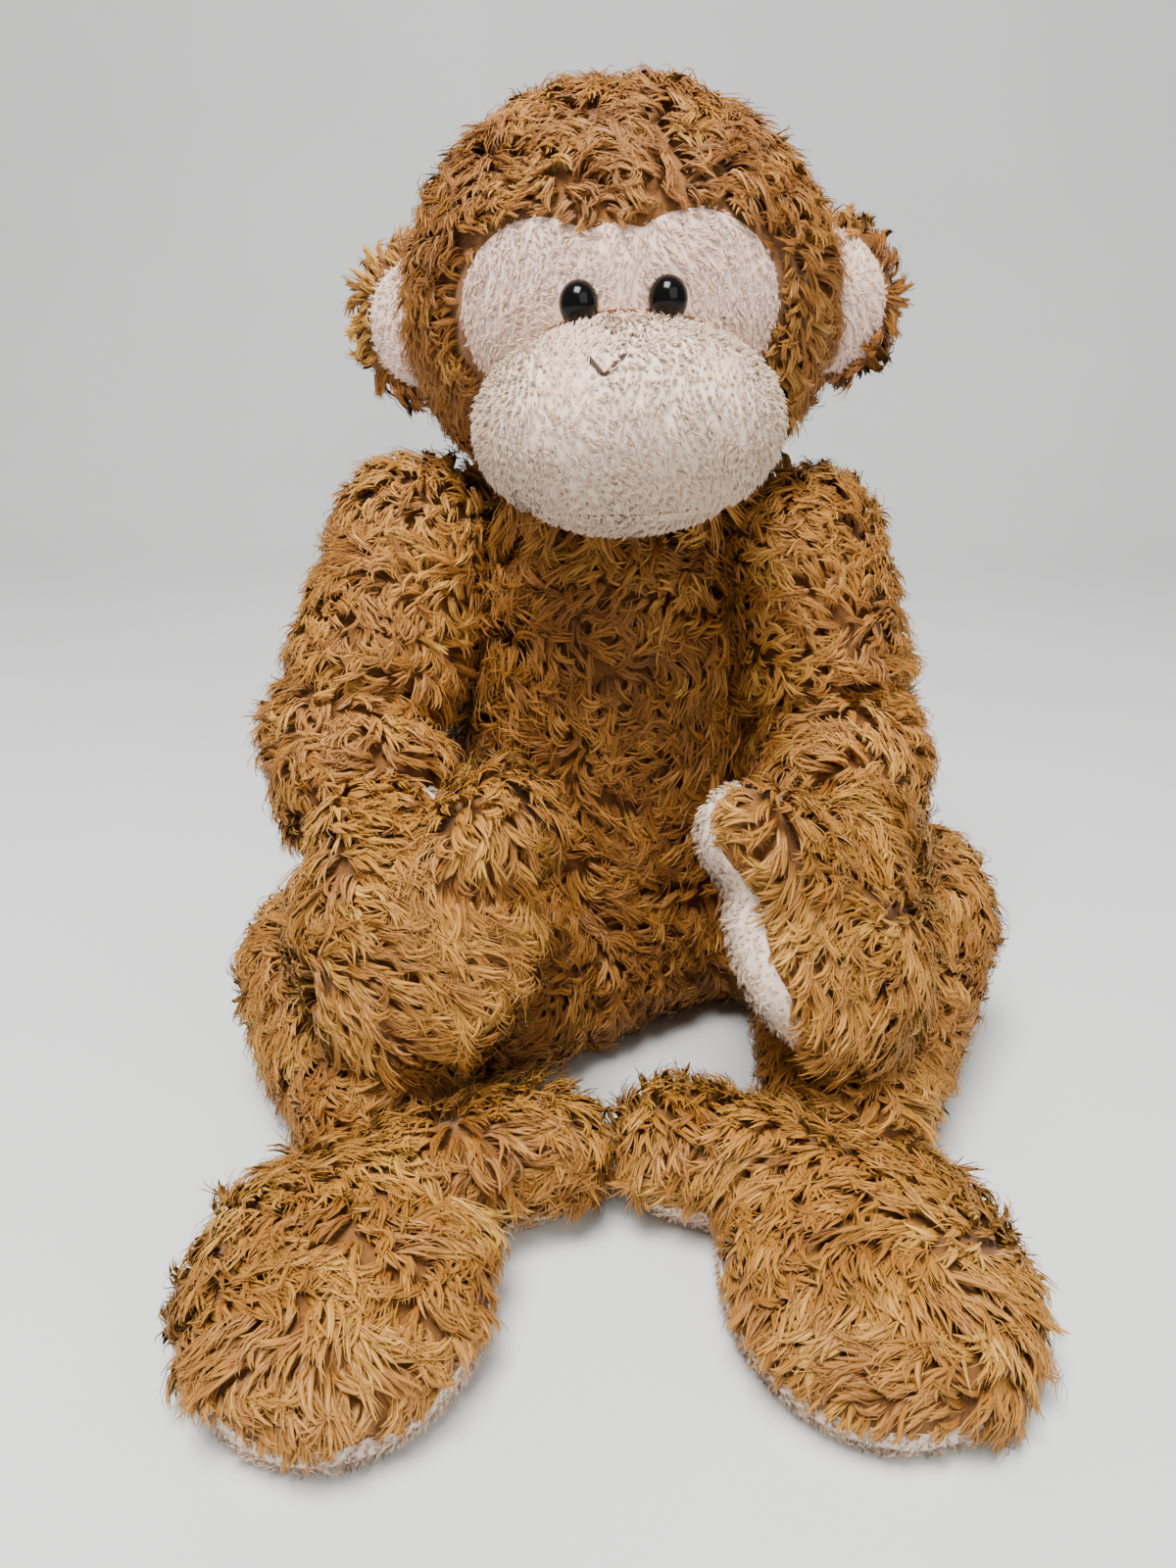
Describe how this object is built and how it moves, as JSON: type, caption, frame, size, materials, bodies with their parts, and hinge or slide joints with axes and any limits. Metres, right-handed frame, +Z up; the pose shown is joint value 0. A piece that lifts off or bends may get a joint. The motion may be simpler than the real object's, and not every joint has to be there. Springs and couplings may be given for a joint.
{
  "type": "stuffed toy monkey",
  "caption": "Sitting plush monkey with curly golden-brown fur, a pink plush face and muzzle, domed eyes and long soft limbs that bend at their seams.",
  "frame": {"origin": "centre of the flat seat panel that the monkey sits on", "axes": "+Z up, -Y the way the monkey faces, +X towards the monkey's own left"},
  "size_m": [0.172, 0.2053, 0.2175],
  "materials": {
    "head_fur": "curly shaggy pile, golden brown",
    "body_fur": "curly shaggy pile, golden brown",
    "long_fur": "long straight combed pile, golden",
    "face_plush": "short-pile plush, pale pink",
    "muzzle_plush": "short-pile plush, cream pink",
    "ear_plush": "short-pile plush, pale pink",
    "palm_plush": "short-pile plush, pale pink",
    "sole_plush": "short-pile plush, off-white pink",
    "fibre_filling": "loose white polyester fibre",
    "pellet_cloth": "thin woven bag with plastic pellets",
    "brown_thread": "embroidery thread, dark brown",
    "black_eye": "polished black",
    "white_washer": "moulded, semi-matt"
  },
  "bodies": {
    "torso": {"torso_front": "body_fur", "torso_back": "body_fur", "torso_stuffing": "fibre_filling", "seat_panel": "body_fur", "pellet_bag": "pellet_cloth"},
    "neck": {"neck_cover": "body_fur", "neck_stuffing": "fibre_filling"},
    "head": {"head_cover": "head_fur", "face_panel": "face_plush", "muzzle_cover": "muzzle_plush", "chin_panel": "muzzle_plush", "head_stuffing": "fibre_filling", "nose_stitch": "brown_thread", "eye_left": "black_eye", "eye_right": "black_eye", "eye_washer_left": "white_washer", "eye_washer_right": "white_washer"},
    "ear_left": {"ear_back_left": "head_fur", "ear_front_left": "ear_plush"},
    "upper_arm_left": {"upper_arm_cover_left": "body_fur", "upper_arm_stuffing_left": "fibre_filling"},
    "forearm_left": {"forearm_cover_left": "body_fur", "forearm_stuffing_left": "fibre_filling"},
    "hand_left": {"hand_back_left": "long_fur", "hand_palm_left": "palm_plush", "hand_stuffing_left": "fibre_filling"},
    "thigh_left": {"thigh_cover_left": "body_fur", "thigh_stuffing_left": "fibre_filling"},
    "shin_left": {"shin_cover_left": "body_fur", "shin_stuffing_left": "fibre_filling"},
    "foot_left": {"foot_top_left": "long_fur", "foot_sole_left": "sole_plush", "foot_stuffing_left": "fibre_filling"},
    "ear_right": {"ear_back_right": "head_fur", "ear_front_right": "ear_plush"},
    "upper_arm_right": {"upper_arm_cover_right": "body_fur", "upper_arm_stuffing_right": "fibre_filling"},
    "forearm_right": {"forearm_cover_right": "body_fur", "forearm_stuffing_right": "fibre_filling"},
    "hand_right": {"hand_back_right": "long_fur", "hand_palm_right": "palm_plush", "hand_stuffing_right": "fibre_filling"},
    "thigh_right": {"thigh_cover_right": "body_fur", "thigh_stuffing_right": "fibre_filling"},
    "shin_right": {"shin_cover_right": "body_fur", "shin_stuffing_right": "fibre_filling"},
    "foot_right": {"foot_top_right": "long_fur", "foot_sole_right": "sole_plush", "foot_stuffing_right": "fibre_filling"}
  },
  "joints": [
    {"name": "neck_turn", "type": "hinge", "parent": "torso", "child": "neck", "pos_m": [0.001, -0.013, 0.136], "axis": [0, 0, 1], "range_deg": [-20, 20]},
    {"name": "head_nod", "type": "hinge", "parent": "neck", "child": "head", "pos_m": [0.001, -0.013, 0.136], "axis": [1, 0, 0], "range_deg": [-10, 12]},
    {"name": "ear_fold_left", "type": "hinge", "parent": "head", "child": "ear_left", "pos_m": [0.04457, -0.01525, 0.17725], "axis": [-0.0523, 0, 0.9986], "range_deg": [-10, 10]},
    {"name": "shoulder_left", "type": "hinge", "parent": "torso", "child": "upper_arm_left", "pos_m": [0.044, -0.015, 0.122], "axis": [-0.3499, -0.9368, 0], "range_deg": [0, 50]},
    {"name": "elbow_left", "type": "hinge", "parent": "upper_arm_left", "child": "forearm_left", "pos_m": [0.054, -0.033, 0.0795], "axis": [-1, 0, 0], "range_deg": [0, 25]},
    {"name": "wrist_left", "type": "hinge", "parent": "forearm_left", "child": "hand_left", "pos_m": [0.052, -0.0565, 0.064], "axis": [-1, 0, 0], "range_deg": [0, 25]},
    {"name": "hip_left", "type": "hinge", "parent": "torso", "child": "thigh_left", "pos_m": [0.05, -0.01, 0.03], "axis": [0, 0, 1], "range_deg": [0, 12]},
    {"name": "knee_left", "type": "hinge", "parent": "thigh_left", "child": "shin_left", "pos_m": [0.065, -0.036, 0.0295], "axis": [0, 0, 1], "range_deg": [0, 20]},
    {"name": "ankle_left", "type": "hinge", "parent": "shin_left", "child": "foot_left", "pos_m": [0.05, -0.09, 0.0135], "axis": [0, 0, 1], "range_deg": [-8, 20]},
    {"name": "ear_fold_right", "type": "hinge", "parent": "head", "child": "ear_right", "pos_m": [-0.0412, -0.01075, 0.17276], "axis": [0.0523, 0, -0.9986], "range_deg": [-10, 10]},
    {"name": "shoulder_right", "type": "hinge", "parent": "torso", "child": "upper_arm_right", "pos_m": [-0.0455, -0.015, 0.124], "axis": [-0.3499, 0.9368, 0], "range_deg": [0, 50]},
    {"name": "elbow_right", "type": "hinge", "parent": "upper_arm_right", "child": "forearm_right", "pos_m": [-0.06, -0.038, 0.082], "axis": [-1, 0, 0], "range_deg": [0, 25]},
    {"name": "wrist_right", "type": "hinge", "parent": "forearm_right", "child": "hand_right", "pos_m": [-0.048, -0.06, 0.066], "axis": [-1, 0, 0], "range_deg": [0, 25]},
    {"name": "hip_right", "type": "hinge", "parent": "torso", "child": "thigh_right", "pos_m": [-0.024, -0.041, 0.022], "axis": [0, 0, -1], "range_deg": [0, 7]},
    {"name": "knee_right", "type": "hinge", "parent": "thigh_right", "child": "shin_right", "pos_m": [-0.06, -0.054, 0.023], "axis": [0, 0, -1], "range_deg": [0, 20]},
    {"name": "ankle_right", "type": "hinge", "parent": "shin_right", "child": "foot_right", "pos_m": [-0.049, -0.09, 0.0135], "axis": [0, 0, -1], "range_deg": [-8, 20]}
  ]
}
